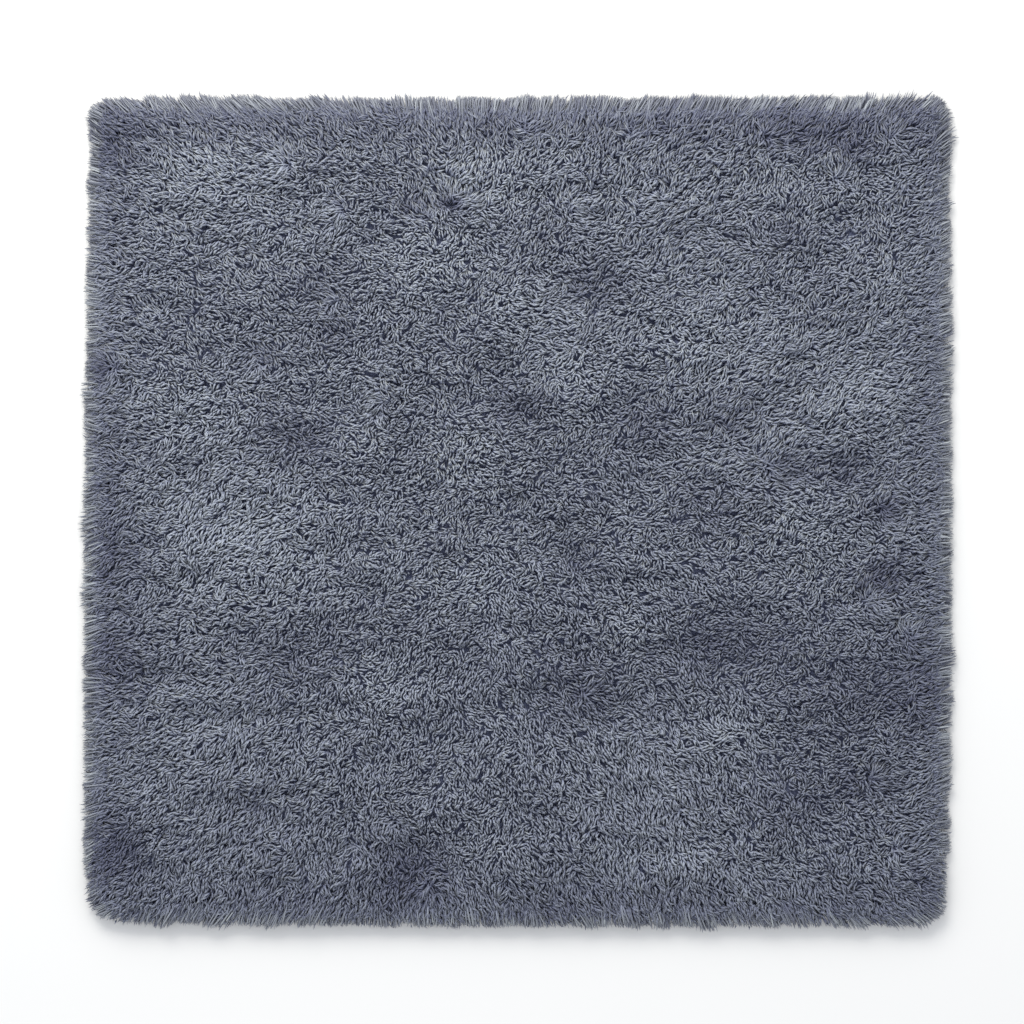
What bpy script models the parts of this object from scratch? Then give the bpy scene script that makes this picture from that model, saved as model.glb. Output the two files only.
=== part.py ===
"""A long-pile shag rug lying flat on a floor.

Metres, +Z up. The underside is at Z = 0, X runs across the rug and +Y points to its far side. The rug is one
piece: a lumpy slab of pile cloth, with locks of pile that splay past its rim in two tiers, the lower one lying on
the floor.
"""

from collections import namedtuple
import math
import random

import bmesh
import bpy
from mathutils import Vector, noise

MM = 0.001

# Driving sizes: the rug over the tips of its locks, the pile's height, and how far the locks pass the cloth.
WIDTH = 1.200
DEPTH = 1.150
PILE_HEIGHT = 0.038
LOCK_REACH = 0.036

# The pile rolls down from its full height to a shoulder at the cloth's edge, over this distance. There its mounds
# and hollows keep only a share of their depth.
SHOULDER_HEIGHT = 0.032
SHOULDER_RUN = 0.060
SHOULDER_SHARE = 0.3

# The upper tier of locks leaves the wall of the slab above this height, and the lower tier below it.
TIER_HEIGHT = 0.014
WALL_BULGE = 0.004

# Faces of the slab's top across and along the rug. Each wall face is the root of a lock, about 23 mm wide.
COLUMNS = 50
ROWS = 48

# Every second corner of those faces is the tip of a tuft, and the rest are the valleys between tufts. A tuft
# stands at most this high over its valleys, at least this share of that, falls over by this much in the comb's
# direction, and has drifted out of its row by up to this much.
TUFT_RISE = 0.014
TUFT_LEAST = 0.2
TUFT_LEAN = 0.006
TUFT_DRIFT = 0.006

# Clumps of tufts rise and sink together.
CLUMP_ACROSS = 0.070
CLUMP_RISE = 0.009

# Edges sharper than this, in degrees, show as creases between tufts.
CREASE_ANGLE = 60

# Radii of the cloth's corners. The locks round a corner fan out, from this far before it.
Corner = namedtuple("Corner", "x_side y_side radius")
CORNERS = (
    Corner(-1, 1, 0.012),
    Corner(1, 1, 0.010),
    Corner(1, -1, 0.018),
    Corner(-1, -1, 0.032),
)
FAN_RUN = 0.080

# Each side bows in a little, by this much at three places along it, in millimetres. It starts at its -X or -Y end.
Side = namedtuple("Side", "x y start middle end")
SIDES = (
    Side(0, 1, 1.5, 1.5, 0.0),
    Side(0, -1, 3.0, 0.0, 0.5),
    Side(-1, 0, 1.0, 1.0, 7.0),
    Side(1, 0, 4.0, 0.0, 1.5),
)

# Where the pile has been combed to: places in millimetres from the rug's middle, and the direction that the
# locks there fall in, in degrees anticlockwise from +X. A stroke is felt about this far round, in millimetres.
Stroke = namedtuple("Stroke", "x y heading")
STROKES = (
    Stroke(-560, 540, 138),
    Stroke(-400, 500, 132),
    Stroke(-180, 520, 105),
    Stroke(60, 530, 82),
    Stroke(330, 520, 66),
    Stroke(560, 530, 42),
    Stroke(540, 300, 30),
    Stroke(560, 40, 8),
    Stroke(560, -220, -4),
    Stroke(560, -520, -48),
    Stroke(330, -520, -64),
    Stroke(0, -530, -90),
    Stroke(-330, -520, -128),
    Stroke(-560, -520, -136),
    Stroke(-550, -330, -142),
    Stroke(-560, -140, 182),
    Stroke(-540, 40, 212),
    Stroke(-560, 260, 178),
    Stroke(-250, 220, 205),
    Stroke(-200, -150, 200),
    Stroke(0, 300, 60),
    Stroke(60, 40, 20),
    Stroke(250, 180, 28),
    Stroke(260, -180, -12),
    Stroke(40, -320, -70),
)
STROKE_REACH = 90

# Mounds, hollows and partings in the pile, in millimetres from the rug's middle.
Swell = namedtuple("Swell", "x y across rise")
SWELLS = (
    Swell(-122, 350, 110, 4.0),
    Swell(-90, 428, 50, -9.0),
    Swell(-11, 281, 90, 3.0),
    Swell(238, 232, 130, 3.5),
    Swell(-371, -52, 210, 3.5),
    Swell(-468, 163, 120, 3.5),
    Swell(-427, 468, 150, 3.0),
    Swell(-39, 461, 100, 3.5),
    Swell(72, 177, 110, 3.0),
    Swell(-66, 73, 120, 3.0),
    Swell(474, 163, 110, 3.0),
    Swell(-302, 94, 100, -4.5),
    Swell(-247, 239, 100, -4.0),
    Swell(100, 309, 90, -4.5),
    Swell(371, 384, 75, -5.0),
    Swell(169, 128, 110, -3.5),
    Swell(252, 17, 120, -4.0),
    Swell(350, -5, 60, -6.0),
    Swell(495, -190, 170, -4.0),
    Swell(-163, -490, 110, -4.5),
    Swell(-538, -440, 110, -3.5),
    Swell(93, -246, 120, -3.5),
    Swell(90, -66, 60, -5.5),
    Swell(-302, -191, 140, -3.0),
    Swell(377, -398, 130, -3.5),
    Swell(490, -362, 60, -6.5),
    Swell(273, -149, 110, -3.5),
    Swell(-183, 140, 60, -5.5),
    Swell(40, 450, 60, -5.0),
)

# The sections of a rim lock, root to tip: how far out it is as a share of the reach, its width as a share of the
# root's, and its underside and top in millimetres above the floor. A tip ends in a thin edge, like a flat brush.
# A tier has a lock on every face of its band or on every second one. Its tips rise or sink by up to its lift, in
# millimetres, and its shift moves them sideways, as a share of the root's width, under the gaps of the tier above.
Section = namedtuple("Section", "out width low high")
Tier = namedtuple("Tier", "every lift shift sections")
TIERS = {
    "upper": Tier(1, 4.0, 0.0, (Section(0.60, 0.87, 15, 28), Section(1.0, 0.46, 20, 20))),
    "lower": Tier(2, 0.0, 0.5, (Section(0.55, 1.00, 0, 10), Section(1.0, 0.70, 0, 0))),
}
# Rim locks point outward, pulled this much towards the comb's direction. They differ by up to these amounts in
# reach, as a share, and in lean, in degrees.
COMB_PULL = 0.7
REACH_SPREAD = 0.14
LEAN_SPREAD = 3
SEED = 11

HALF_WIDTH = WIDTH / 2 - LOCK_REACH
HALF_DEPTH = DEPTH / 2 - LOCK_REACH


def blend_over(share):
    """Smooth step from 0 to 1."""
    share = min(max(share, 0.0), 1.0)
    return share * share * (3 - 2 * share)


def side_bow(side, along):
    """How far a side bows in, in metres, at a place from -1 to 1 along it."""
    far = side.start if along < 0 else side.end
    return (side.middle + (far - side.middle) * blend_over(abs(along))) * MM


def slab_place(across, along):
    """The place on the cloth of a point of the square from -1 to 1, with the corners rounded and the sides bowed."""
    x, y = across * HALF_WIDTH, along * HALF_DEPTH
    for corner in CORNERS:
        over_x = corner.x_side * x - (HALF_WIDTH - corner.radius)
        over_y = corner.y_side * y - (HALF_DEPTH - corner.radius)
        if over_x > 0 and over_y > 0:
            u, v = over_x / corner.radius, over_y / corner.radius
            x -= corner.x_side * corner.radius * (u - u * math.sqrt(1 - v * v / 2))
            y -= corner.y_side * corner.radius * (v - v * math.sqrt(1 - u * u / 2))
    for side in SIDES:
        nearness = max(across * side.x + along * side.y, 0.0)
        bow = nearness**2 * side_bow(side, along if side.x else across)
        x -= side.x * bow
        y -= side.y * bow
    return Vector((x, y, 0.0))


def comb_direction(place):
    """Level direction that the pile falls in at a place: the strokes round it, the nearest counting most."""
    fall = Vector((0.0, 0.0, 0.0))
    for stroke in STROKES:
        away = math.hypot(place.x / MM - stroke.x, place.y / MM - stroke.y) / STROKE_REACH
        heading = math.radians(stroke.heading)
        fall += Vector((math.cos(heading), math.sin(heading), 0.0)) / (1 + away * away) ** 2
    return fall.normalized()


def outward(place):
    """Level direction from a place at the rim away from the rug, fanned round the corners."""
    held_x = max(FAN_RUN - HALF_WIDTH, min(HALF_WIDTH - FAN_RUN, place.x))
    held_y = max(FAN_RUN - HALF_DEPTH, min(HALF_DEPTH - FAN_RUN, place.y))
    return Vector((place.x - held_x, place.y - held_y, 0.0)).normalized()


def pile_height(place, rolled):
    """Height of the pile, with its mounds and hollows, before the tufts. Rolled is 0 at the cloth's edge."""
    share = SHOULDER_SHARE + (1 - SHOULDER_SHARE) * rolled
    height = SHOULDER_HEIGHT + (PILE_HEIGHT - SHOULDER_HEIGHT) * rolled
    for swell in SWELLS:
        away = math.hypot(place.x / MM - swell.x, place.y / MM - swell.y) / (swell.across / 2)
        height += swell.rise * MM * math.exp(-away * away) * share
    clump = noise.noise(place / CLUMP_ACROSS + Vector((SEED, SEED / 2, 0.0)))
    return height + CLUMP_RISE * clump * share


def make_top(draws):
    """The top of the slab: a grid with its corners raised and sunk into tufts and valleys."""
    slab = bmesh.new()
    bmesh.ops.create_grid(slab, x_segments=COLUMNS, y_segments=ROWS, size=1.0)
    valleys = []
    for vert in slab.verts:
        across, along = vert.co.x, vert.co.y
        column = round((across + 1) / 2 * COLUMNS)
        row = round((along + 1) / 2 * ROWS)
        inside = min((1 - abs(across)) * HALF_WIDTH, (1 - abs(along)) * HALF_DEPTH)
        tufted = min(2 * inside / SHOULDER_RUN, 1.0)
        place = slab_place(across, along)
        height = pile_height(place, blend_over(inside / SHOULDER_RUN))
        place += Vector((draws.uniform(-1, 1), draws.uniform(-1, 1), 0.0)) * (TUFT_DRIFT * tufted)
        rise = TUFT_RISE / 2 * draws.uniform(TUFT_LEAST, 1) * tufted
        if (column + row) % 2:
            place += comb_direction(place) * (TUFT_LEAN * tufted)
        else:
            valleys.append(vert)
            rise = -rise
        vert.co = (place.x, place.y, height + rise)
    # Each face is split from valley to valley, so that its tuft stands alone.
    bmesh.ops.connect_verts(slab, verts=valleys)
    return slab


def add_wall(slab):
    """The wall below the top, in two bands, and one flat face under it all. Gives the faces of each band."""
    rim = [edge for edge in slab.edges if edge.is_boundary]
    bands = {}
    for band, height, bulge in (("upper", TIER_HEIGHT, WALL_BULGE), ("lower", 0.0, -WALL_BULGE)):
        made = bmesh.ops.extrude_edge_only(slab, edges=rim)["geom"]
        for vert in (item for item in made if isinstance(item, bmesh.types.BMVert)):
            vert.co += outward(vert.co) * bulge
            vert.co.z = height
        rim = [item for item in made if isinstance(item, bmesh.types.BMEdge) and item.is_boundary]
        bands[band] = [item for item in made if isinstance(item, bmesh.types.BMFace)]
    bmesh.ops.contextual_create(slab, geom=rim)
    bmesh.ops.recalc_face_normals(slab, faces=slab.faces[:])
    return bands


def in_order(faces):
    """The faces of a band, in their order round the rug."""
    return sorted(faces, key=lambda face: math.atan2(*face.calc_center_median().yx))


def width_across(face, sideways):
    """How wide a wall face is along a level direction."""
    return max(abs((edge.verts[0].co - edge.verts[1].co).dot(sideways)) for edge in face.edges)


def raise_locks(slab, band, tier, draws):
    """Pulls a lock out of every face, or every second face, of a band of the wall."""
    for face in in_order(band)[:: tier.every]:
        root = face.calc_center_median()
        toward = (outward(root) + comb_direction(root) * COMB_PULL).normalized()
        sideways = Vector((-toward.y, toward.x, 0.0))
        width = width_across(face, sideways)
        turn = math.radians(draws.uniform(-LEAN_SPREAD, LEAN_SPREAD))
        toward = toward * math.cos(turn) + sideways * math.sin(turn)
        reach = LOCK_REACH * (1 - REACH_SPREAD * draws.random())
        lift = tier.lift * draws.uniform(-1, 1)
        for section in tier.sections:
            face = bmesh.ops.extrude_discrete_faces(slab, faces=[face])["faces"][0]
            bend = section.out**2
            middle = root + toward * (reach * section.out) + sideways * (width * tier.shift * bend)
            belt = face.calc_center_median().z
            for vert in face.verts:
                half = math.copysign(width * section.width / 2, (vert.co - middle).dot(sideways))
                height = section.high if vert.co.z > belt else section.low
                vert.co = middle + sideways * half
                vert.co.z = (height + lift * bend) * MM
        bmesh.ops.remove_doubles(slab, verts=face.verts[:], dist=0.1 * MM)


def fit_to_size(rug):
    """Puts the rug's middle over the origin, and makes it WIDTH by DEPTH over the tips of its locks."""
    low = Vector((min(vert.co.x for vert in rug.verts), min(vert.co.y for vert in rug.verts), 0.0))
    high = Vector((max(vert.co.x for vert in rug.verts), max(vert.co.y for vert in rug.verts), 0.0))
    bmesh.ops.translate(rug, verts=rug.verts[:], vec=-(low + high) / 2)
    scale = Vector((WIDTH / (high.x - low.x), DEPTH / (high.y - low.y), 1.0))
    bmesh.ops.scale(rug, verts=rug.verts[:], vec=scale)


def pile_material():
    """Grey polyester pile: matt, a little blue."""
    material = bpy.data.materials.new("grey_pile")
    material.use_nodes = True
    shader = material.node_tree.nodes["Principled BSDF"]
    shader.inputs["Base Color"].default_value = (0.117, 0.131, 0.170, 1.0)
    shader.inputs["Roughness"].default_value = 0.9
    shader.inputs["Metallic"].default_value = 0.0
    return material


def main():
    for thing in list(bpy.data.objects):
        bpy.data.objects.remove(thing)

    draws = random.Random(SEED)
    rug = make_top(draws)
    bands = add_wall(rug)
    for name, tier in TIERS.items():
        raise_locks(rug, bands[name], tier, draws)
    fit_to_size(rug)

    mesh = bpy.data.meshes.new("shag_rug")
    rug.to_mesh(mesh)
    rug.free()
    mesh.shade_smooth()
    mesh.set_sharp_from_angle(angle=math.radians(CREASE_ANGLE))
    mesh.materials.append(pile_material())
    collection = bpy.data.collections.new("shag rug")
    bpy.context.scene.collection.children.link(collection)
    collection.objects.link(bpy.data.objects.new("shag_rug", mesh))


main()
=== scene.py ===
"""The looks of a grey shag rug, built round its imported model.

The rug is a backing cloth with a dense bed of fibre on it, and the locks of its long pile stand in that bed.
They lean and curl the way that use has left them, and those at the rim splay past the cloth.
"""

from collections import namedtuple
import math

import bmesh
import bpy
from mathutils import Matrix, Vector, kdtree, noise
import numpy as np


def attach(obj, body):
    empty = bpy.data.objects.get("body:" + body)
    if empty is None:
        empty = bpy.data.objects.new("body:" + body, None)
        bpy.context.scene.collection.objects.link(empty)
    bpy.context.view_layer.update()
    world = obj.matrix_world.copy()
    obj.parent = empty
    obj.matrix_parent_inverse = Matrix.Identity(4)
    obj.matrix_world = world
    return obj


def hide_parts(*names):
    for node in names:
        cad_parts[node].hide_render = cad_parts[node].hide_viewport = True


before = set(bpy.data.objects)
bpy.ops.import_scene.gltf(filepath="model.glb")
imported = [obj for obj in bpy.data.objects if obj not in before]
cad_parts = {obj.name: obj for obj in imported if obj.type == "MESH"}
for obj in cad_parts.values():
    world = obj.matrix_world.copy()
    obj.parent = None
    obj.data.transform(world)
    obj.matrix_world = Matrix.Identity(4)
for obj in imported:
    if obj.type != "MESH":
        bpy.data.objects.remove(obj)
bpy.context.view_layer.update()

# ---- Backing cloth
# A woven polyester cloth under the whole rug, which the pile is stitched through and which latex stiffens. It
# is cut to a rounded rectangle, and the locks at the rim hide its edge. Only the underside could ever show.

MM = 0.001

# Half the rug's size over the tips of its locks, and how far the locks reach past the cloth's edge.
HALF_WIDTH = 0.600
HALF_DEPTH = 0.575
LOCK_REACH = 0.036
BACKING_THICKNESS = 0.002
BACKING_CORNER_SEGMENTS = 8
BACKING_SMALLEST_CORNER = 0.010
BACKING_SIDE_CUTS = 23

# Corner radii of the rug over the tips of its locks.
Corner = namedtuple("Corner", "x_side y_side radius")
CORNERS = (
    Corner(-1, 1, 0.030),
    Corner(1, 1, 0.026),
    Corner(1, -1, 0.043),
    Corner(-1, -1, 0.058),
)

# Each side bows in a little, by this much at three places along it, in millimetres, from its -X or -Y end.
Side = namedtuple("Side", "x y start middle end")
SIDES = (
    Side(0, 1, 1.5, 1.5, 0.0),
    Side(0, -1, 3.0, 0.0, 0.5),
    Side(-1, 0, 1.0, 1.0, 7.0),
    Side(1, 0, 4.0, 0.0, 1.5),
)


def smooth_step(share):
    """Smooth step from 0 to 1, of a number or an array."""
    share = np.clip(share, 0.0, 1.0)
    return share * share * (3 - 2 * share)


def half_sizes(places):
    """Half the rug's width and depth over its lock tips at each place, with the bow of its nearest side."""
    x, y = places[:, 0], places[:, 1]
    half = np.empty((len(places), 2))
    half[:] = HALF_WIDTH, HALF_DEPTH
    for side in SIDES:
        along = y / HALF_DEPTH if side.x else x / HALF_WIDTH
        near = (side.x * x + side.y * y) > 0
        far = np.where(along < 0, side.start, side.end)
        bow = side.middle + (far - side.middle) * smooth_step(np.abs(along))
        half[:, 0 if side.x else 1] -= np.where(near, bow * MM, 0.0)
    return half


def inside_by(places):
    """How far each place lies inside the outline of the lock tips, in metres. It is below 0 outside."""
    half = half_sizes(places)
    radius = np.zeros(len(places))
    for corner in CORNERS:
        here = (corner.x_side * places[:, 0] > 0) & (corner.y_side * places[:, 1] > 0)
        radius[here] = corner.radius
    over = np.abs(places[:, :2]) - half + radius[:, None]
    beyond = np.linalg.norm(np.maximum(over, 0.0), axis=1)
    return radius - beyond - np.minimum(over.max(axis=1), 0.0)


backing_maker = bmesh.new()
bmesh.ops.create_grid(backing_maker, x_segments=1, y_segments=1, size=1.0)
bmesh.ops.scale(
    backing_maker,
    verts=backing_maker.verts[:],
    vec=(HALF_WIDTH - LOCK_REACH, HALF_DEPTH - LOCK_REACH, 1.0),
)
for corner in CORNERS:
    at_corner = min(
        backing_maker.verts,
        key=lambda vert: -(vert.co.x * corner.x_side + vert.co.y * corner.y_side),
    )
    bmesh.ops.bevel(
        backing_maker,
        geom=[at_corner],
        offset=max(corner.radius - LOCK_REACH / 2, BACKING_SMALLEST_CORNER),
        offset_type="OFFSET",
        segments=BACKING_CORNER_SEGMENTS,
        profile=0.5,
        affect="VERTICES",
        material=-1,
    )
long_edges = [edge for edge in backing_maker.edges if edge.calc_length() > HALF_DEPTH]
bmesh.ops.subdivide_edges(backing_maker, edges=long_edges, cuts=BACKING_SIDE_CUTS)
for vert in backing_maker.verts:
    half = half_sizes(np.array([vert.co]))[0]
    vert.co.x *= half[0] / HALF_WIDTH
    vert.co.y *= half[1] / HALF_DEPTH
raised = bmesh.ops.extrude_face_region(backing_maker, geom=backing_maker.faces[:])["geom"]
raised_verts = [item for item in raised if isinstance(item, bmesh.types.BMVert)]
bmesh.ops.translate(backing_maker, verts=raised_verts, vec=(0.0, 0.0, BACKING_THICKNESS))
bmesh.ops.recalc_face_normals(backing_maker, faces=backing_maker.faces[:])
backing_area = max(face.calc_area() for face in backing_maker.faces)
bmesh.ops.triangulate(backing_maker, faces=[face for face in backing_maker.faces if len(face.verts) > 4])


def as_mesh(name, mesh_maker):
    """The mesh that a bmesh has made."""
    mesh = bpy.data.meshes.new(name)
    mesh_maker.to_mesh(mesh)
    mesh_maker.free()
    return mesh


def finished(mesh, material):
    """Makes a mesh a piece of the rug, which rides on its one body and takes its one finish."""
    mesh.materials.append(material)
    piece = bpy.data.objects.new(mesh.name, mesh)
    bpy.context.scene.collection.objects.link(piece)
    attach(piece, "root")
    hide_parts("shag_rug")
    return piece


def linear(hex_colour):
    """The linear colour of an sRGB hex value."""
    values = [int(hex_colour[i : i + 2], 16) / 255 for i in (1, 3, 5)]
    return tuple(v / 12.92 if v <= 0.04045 else ((v + 0.055) / 1.055) ** 2.4 for v in values) + (1.0,)


def new_material(name):
    """A material with its Principled shader, named for the real finish."""
    material = bpy.data.materials.new(name)
    material.use_nodes = True
    return material, material.node_tree.nodes["Principled BSDF"]


def add_node(material, kind, settings=(), links=()):
    """Adds a node with its settings, and links other nodes' outputs to its inputs."""
    node = material.node_tree.nodes.new(kind)
    for key, value in dict(settings).items():
        if isinstance(key, str) and hasattr(node, key):
            setattr(node, key, value)
        else:
            node.inputs[key].default_value = value
    for socket, output in dict(links).items():
        material.node_tree.links.new(output, node.inputs[socket])
    return node


# Woven polyester with a latex coat: a dull grey cloth whose threads show as a fine grid of small humps. The
# threads are 2.5 mm apart, coarser than the real 1.5 mm, so that they show.
THREAD_SPACING = 2.5 * MM
woven, woven_shader = new_material("latex_coated_woven_polyester")
woven_shader.inputs["Roughness"].default_value = 0.85
woven_shader.inputs["IOR"].default_value = 1.5
woven_place = add_node(woven, "ShaderNodeTexCoord")
thread_waves = []
for direction in ("X", "Y"):
    thread_waves.append(
        add_node(
            woven,
            "ShaderNodeTexWave",
            {
                "wave_type": "BANDS",
                "bands_direction": direction,
                "Scale": math.pi / 10 / THREAD_SPACING,
                "Distortion": 0.4,
                "Detail": 2.0,
                "Detail Scale": 3.0,
            },
            {"Vector": woven_place.outputs["Object"]},
        )
    )
threads = add_node(
    woven,
    "ShaderNodeMath",
    {"operation": "MULTIPLY"},
    {0: thread_waves[0].outputs["Fac"], 1: thread_waves[1].outputs["Fac"]},
)
woven_colour = add_node(woven, "ShaderNodeValToRGB", (), {"Fac": threads.outputs["Value"]})
woven_colour.color_ramp.elements[0].color = linear("#5d616b")
woven_colour.color_ramp.elements[1].color = linear("#8d919a")
woven_bump = add_node(
    woven,
    "ShaderNodeBump",
    {"Strength": 0.6, "Distance": 0.5 * MM},
    {"Height": threads.outputs["Value"]},
)
woven.node_tree.links.new(woven_colour.outputs["Color"], woven_shader.inputs["Base Color"])
woven.node_tree.links.new(woven_bump.outputs["Normal"], woven_shader.inputs["Normal"])

backing = finished(as_mesh("backing_cloth", backing_maker), woven)

# ---- Bed of fibre
# The lower part of the pile, where the fibres stand too close to be told apart. It is made with the pile and
# from the same polyester, and follows its mounds and hollows. It shows only as the dark between locks, and is
# coloured darker than the locks as painted shade.

SEED = 11

# The bed fills a share of the pile's height. It stops inside the outline, and rolls down to where it stops.
BED_COLUMNS = 104
BED_ROWS = 100
BED_SHARE = 0.66
BED_LUMP = 0.009
BED_ROUGHNESS = 2.0 * MM
BED_EDGE = 0.026
BED_ROLL = 0.025
BED_ROLL_START = 0.3
EDGE_PULLS = 4
EDGE_PULL = 0.7

# The pile is highest over the middle. It is a little lower along its shoulder, where its relief is less too,
# and falls away from there to its edge, which lies higher on the near side.
PILE_HEIGHT = 0.038
SHOULDER_HEIGHT = 0.032
SHOULDER_RUN = 0.060
SHOULDER_SHARE = 0.3
EDGE_RUN = 0.050
EDGE_FALL = 2.2
EDGE_LEVEL = 0.005
NEAR_LIFT = 0.007

# The far and near sides of the rug are bands this deep, which fade in over this run.
SIDE_BAND = 0.120
SIDE_BLEND = 0.060

# Random humps, and ripples that are longest across the rug.
SWELL_GRAIN = 0.070
SWELL_NOISE = 0.012
RIPPLE_LENGTH = 0.100
RIPPLE_SPACING = 0.030
RIPPLE_NOISE = 0.009

# Mounds and hollows in the pile, in millimetres from the rug's middle. Each is longer across the rug than
# along it, by this factor. They also pale the mounds' locks and darken the hollows' as painted light and
# shade.
SWELL_STRETCH = 1.4
Swell = namedtuple("Swell", "x y across rise")
SWELLS = (
    Swell(-427, 468, 160, 2.0),
    Swell(-122, 350, 120, 3.5),
    Swell(-39, 465, 110, 3.5),
    Swell(-11, 281, 110, 3.5),
    Swell(238, 230, 150, 3.5),
    Swell(474, 163, 130, 2.5),
    Swell(-450, 145, 110, 3.5),
    Swell(-212, 100, 70, 3.0),
    Swell(-376, -48, 230, 4.0),
    Swell(72, 190, 90, 2.5),
    Swell(-66, 73, 110, 3.0),
    Swell(398, -12, 110, 3.0),
    Swell(-55, -97, 110, 2.5),
    Swell(157, -165, 80, 3.0),
    Swell(-170, -230, 110, 2.5),
    Swell(298, -295, 90, 3.0),
    Swell(234, -478, 70, 3.0),
    Swell(-545, 500, 110, -2.5),
    Swell(-140, 424, 50, -4.0),
    Swell(-91, 424, 36, -7.0),
    Swell(100, 309, 80, -3.5),
    Swell(385, 515, 120, -3.0),
    Swell(470, 500, 70, -3.5),
    Swell(371, 384, 70, -3.0),
    Swell(-281, 313, 80, -2.5),
    Swell(-350, 214, 60, -4.0),
    Swell(-250, 246, 90, -3.0),
    Swell(-590, 200, 60, -5.0),
    Swell(-299, 100, 100, -3.5),
    Swell(2, 143, 90, -3.5),
    Swell(172, 124, 90, -3.5),
    Swell(292, 122, 90, -3.0),
    Swell(370, 60, 80, -3.5),
    Swell(450, 60, 80, -3.5),
    Swell(502, 4, 55, -6.0),
    Swell(502, -90, 70, -6.0),
    Swell(252, 10, 120, -2.5),
    Swell(-548, -60, 140, -3.5),
    Swell(-548, -200, 150, -3.5),
    Swell(-302, -191, 150, -2.5),
    Swell(90, -66, 70, -3.5),
    Swell(286, -180, 150, -4.0),
    Swell(87, -253, 130, -4.0),
    Swell(490, -250, 240, -4.0),
    Swell(480, -370, 90, -4.0),
    Swell(370, -400, 120, -3.0),
    Swell(-154, -490, 130, -5.0),
    Swell(-350, -400, 150, -2.0),
    Swell(-560, -465, 120, -4.5),
)


def far_side(places):
    """A share that is 1 along the rug's far side and 0 elsewhere. Places turned round give its near side."""
    return smooth_step((places[:, 1] - HALF_DEPTH + SIDE_BAND) / SIDE_BLEND)


def waver(places, across, seed):
    """Smooth noise from about -1 to 1 at each place, in humps about this far across, other for each seed."""
    shift = Vector((seed, seed / 2, 0.0))
    return np.array([noise.noise(Vector((x, y, 0.0)) / across + shift) for x, y in places[:, :2]])


def swelling(places):
    """How far the mounds and hollows lift the pile at each place."""
    lift = np.zeros(len(places))
    for swell in SWELLS:
        away_x, away_y = places[:, 0] / MM - swell.x, places[:, 1] / MM - swell.y
        away = np.hypot(away_x, SWELL_STRETCH * away_y) / (swell.across / 2)
        lift += swell.rise * MM * np.exp(-away * away)
    return lift


def pile_height(places):
    """Height of the pile at each place, with its mounds, hollows and ripples. It falls away at the rim."""
    inside = inside_by(places)
    rolled = smooth_step((inside - LOCK_REACH) / SHOULDER_RUN)
    ripples = waver(places * (RIPPLE_SPACING / RIPPLE_LENGTH, 1, 1), RIPPLE_SPACING, SEED + 9)
    relief = swelling(places) + SWELL_NOISE * waver(places, SWELL_GRAIN, SEED) + RIPPLE_NOISE * ripples
    height = SHOULDER_HEIGHT + (PILE_HEIGHT - SHOULDER_HEIGHT) * rolled
    height += relief * (SHOULDER_SHARE + (1 - SHOULDER_SHARE) * rolled)
    fallen = (1 - np.clip(inside / EDGE_RUN, 0.0, 1.0)) ** EDGE_FALL
    return height * (1 - fallen) + (EDGE_LEVEL + NEAR_LIFT * far_side(-places)) * fallen


bed_maker = bmesh.new()
bmesh.ops.create_grid(bed_maker, x_segments=BED_COLUMNS, y_segments=BED_ROWS, size=1.0)
bed_places = np.array([vert.co for vert in bed_maker.verts])
square = bed_places[:, :2].copy()
bed_places[:, :2] = square * (HALF_WIDTH - BED_EDGE, HALF_DEPTH - BED_EDGE)
bed_places[:, :2] *= half_sizes(bed_places) / (HALF_WIDTH, HALF_DEPTH)
# Points past the rounded corners come back to the bed's edge.
for _ in range(EDGE_PULLS):
    past = np.maximum(BED_EDGE - inside_by(bed_places), 0.0)
    bed_places[:, :2] -= np.sign(square) * past[:, None] * EDGE_PULL
bed_in = np.maximum(inside_by(bed_places) - BED_EDGE, 0.0)
bed_roll = smooth_step(BED_ROLL_START + (1 - BED_ROLL_START) * bed_in / BED_ROLL)
bed_places[:, 2] = BACKING_THICKNESS + pile_height(bed_places) * BED_SHARE * bed_roll
bed_places[:, 2] += BED_ROUGHNESS * waver(bed_places, BED_LUMP, SEED + 3) * bed_roll
for vert, place in zip(bed_maker.verts, bed_places):
    vert.co = place
bed_rim = [edge for edge in bed_maker.edges if edge.is_boundary]
bed_skirt = bmesh.ops.extrude_edge_only(bed_maker, edges=bed_rim)["geom"]
for vert in (item for item in bed_skirt if isinstance(item, bmesh.types.BMVert)):
    vert.co.z = BACKING_THICKNESS / 2
bed_foot = [item for item in bed_skirt if isinstance(item, bmesh.types.BMEdge) and item.is_boundary]
bmesh.ops.contextual_create(bed_maker, geom=bed_foot)
bmesh.ops.recalc_face_normals(bed_maker, faces=bed_maker.faces[:])
bmesh.ops.triangulate(bed_maker, faces=[face for face in bed_maker.faces if len(face.verts) > 4])

# Crowded polyester fibre, coloured darker than the locks as painted shade of the deep pile: dark blue grey,
# with a grain as fine as the locks, 2.5 mm.
BED_GRAIN = 2.5 * MM
packed_fibre_painted_shade, bed_shader = new_material("crowded_polyester_fibre_painted_shade")
bed_shader.inputs["Roughness"].default_value = 0.95
bed_place = add_node(packed_fibre_painted_shade, "ShaderNodeTexCoord")
bed_noise = add_node(
    packed_fibre_painted_shade,
    "ShaderNodeTexNoise",
    {"Scale": 1 / BED_GRAIN, "Detail": 3.0},
    {"Vector": bed_place.outputs["Object"]},
)
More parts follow.
